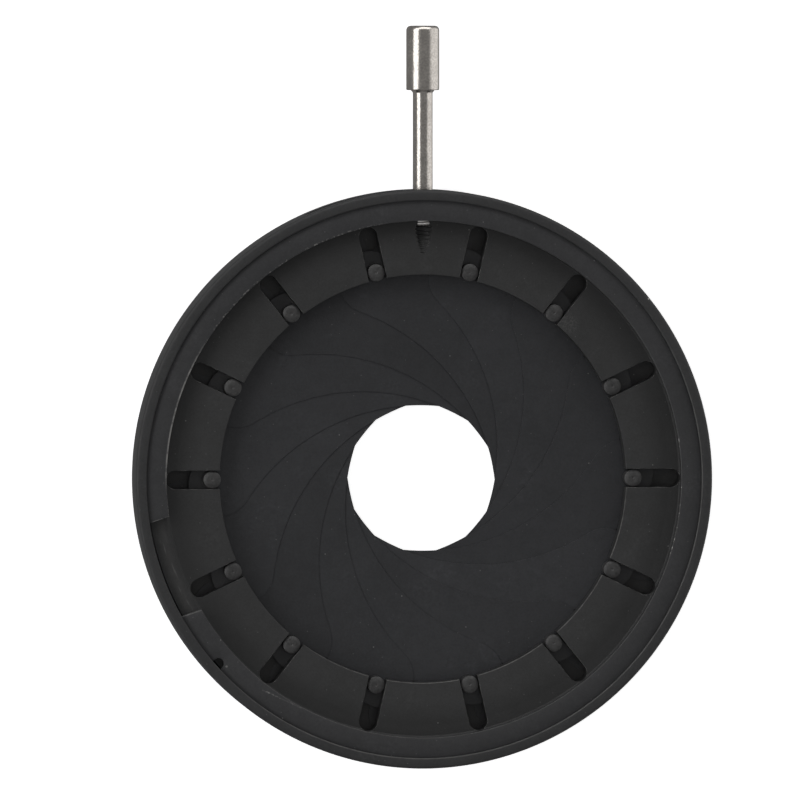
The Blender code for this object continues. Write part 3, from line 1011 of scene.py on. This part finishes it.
def build_studio():
    """Walls that are brighter to the right, a white backdrop for the camera, and three lamps."""
    world = bpy.data.worlds.new("studio")
    bpy.context.scene.world = world
    world.use_nodes = True
    nodes, links = world.node_tree.nodes, world.node_tree.links
    across = nodes.new("ShaderNodeSeparateXYZ")
    links.new(nodes.new("ShaderNodeTexCoord").outputs["Generated"], across.inputs[0])
    walls = nodes.new("ShaderNodeMapRange")
    walls.interpolation_type = "SMOOTHSTEP"
    brightness = {"From Min": 0.62, "From Max": 0.9, "To Min": 0.185, "To Max": 0.82}
    for key, value in brightness.items():
        walls.inputs[key].default_value = value
    links.new(across.outputs["X"], walls.inputs["Value"])
    links.new(walls.outputs["Result"], nodes["Background"].inputs["Strength"])
    nodes["Background"].inputs["Color"].default_value = WHITE
    backdrop = nodes.new("ShaderNodeBackground")
    backdrop.inputs["Color"].default_value = WHITE
    seen = nodes.new("ShaderNodeLightPath")
    either = nodes.new("ShaderNodeMixShader")
    links.new(seen.outputs["Is Camera Ray"], either.inputs[0])
    links.new(nodes["Background"].outputs[0], either.inputs[1])
    links.new(backdrop.outputs[0], either.inputs[2])
    links.new(either.outputs[0], nodes["World Output"].inputs["Surface"])

    area_light("key", place=(-0.88, 0.22, 0.66), size=(2.0, 0.68), power=7.5)
    area_light("top", place=(0.2, 0.9, 0.5), size=(1.3, 0.9), power=5.5, lights_coats=False)
    area_light("overhead", place=(0, 0, 2), size=(0.9, 0.9), power=5.5, mirrored=False)
    bpy.context.scene.view_settings.view_transform = "Standard"


def build_camera():
    """Looks down at the iris from a little to its left and above, as the photo does."""
    left, above = 5.7 * DEGREE, 2.2 * DEGREE
    pixels_left, pixels_up = 25.0, 79.7  # of the photo's middle from the iris's
    towards = Vector((-math.tan(left), math.tan(above), 1)).normalized()
    right = Vector((0, 1, 0)).cross(towards).normalized()
    up = towards.cross(right)
    target = Vector((0, 0, HEIGHT)) - right * pixels_left * PIXEL + up * pixels_up * PIXEL
    distance = 1.3
    data = bpy.data.cameras.new("camera")
    data.sensor_width = 36  # in millimetres, as Blender takes it
    data.lens = data.sensor_width * distance / (PHOTO_PIXELS * PIXEL)
    data.clip_start = 0.01
    camera = add_object("camera", data)
    camera.location = target + towards * distance
    camera.rotation_euler = Matrix((right, up, towards)).transposed().to_euler()
    bpy.context.scene.camera = camera


def main():
    body = coated(
        "black_body_coat",
        dark=(0.0205, 0.0205, 0.0212),
        light=(0.0277, 0.0277, 0.0284),
        roughness=0.6,
        wear=0.3,
        marks_and_painted_light=body_wear_and_painted_light,
    )
    snap = coated(
        "black_snap_coat",
        dark=(0.0243, 0.0243, 0.0259),
        light=(0.0322, 0.0322, 0.0341),
        roughness=0.58,
        wear=1.0,
        wear_where=snap_wear_where,
        marks_and_painted_light=snap_wear_and_highlight,
        painted_shade=snap_painted_shade,
    )
    ring = coated(
        "black_ring_coat",
        dark=(0.0202, 0.0202, 0.0202),
        light=(0.0274, 0.0274, 0.0278),
        roughness=0.56,
        wear=0.5,
        turning=0.002 * MM,
        marks_and_painted_light=ring_wear_and_highlight,
        painted_shade=ring_painted_shade,
    )
    leaf = coated(
        "black_leaf_coat",
        dark=(0.0196, 0.02, 0.0221),
        light=(0.0264, 0.0268, 0.0296),
        roughness=0.52,
        wear=0.15,
        edge=0.04 * MM,
        marks_and_painted_light=leaf_painted_light,
    )
    pins = coated(
        "dark_pin_coat",
        dark=(0.027, 0.0265, 0.0265),
        light=(0.05, 0.049, 0.049),
        roughness=0.42,
        wear=1.0,
    )
    bright = steel(
        "bright_turned_steel",
        tone=(0.82, 0.77, 0.715),
        roughness=0.15,
        stretch=(0.25, 8, 0.25),
        depth=0.007 * MM,
    )
    scuffed = steel(
        "scuffed_steel",
        tone=(1, 0.98, 0.95),
        roughness=0.3,
        stretch=(1, 1, 1),
        depth=0.01 * MM,
        metallic=0.2,
        crests=thread_crests,
    )
    build_housing(body)
    build_cam_ring(ring)
    build_snap_ring(snap)
    build_blades(leaf, pins)
    build_lever(bright, scuffed)
    build_floor()
    build_studio()
    build_camera()


main()
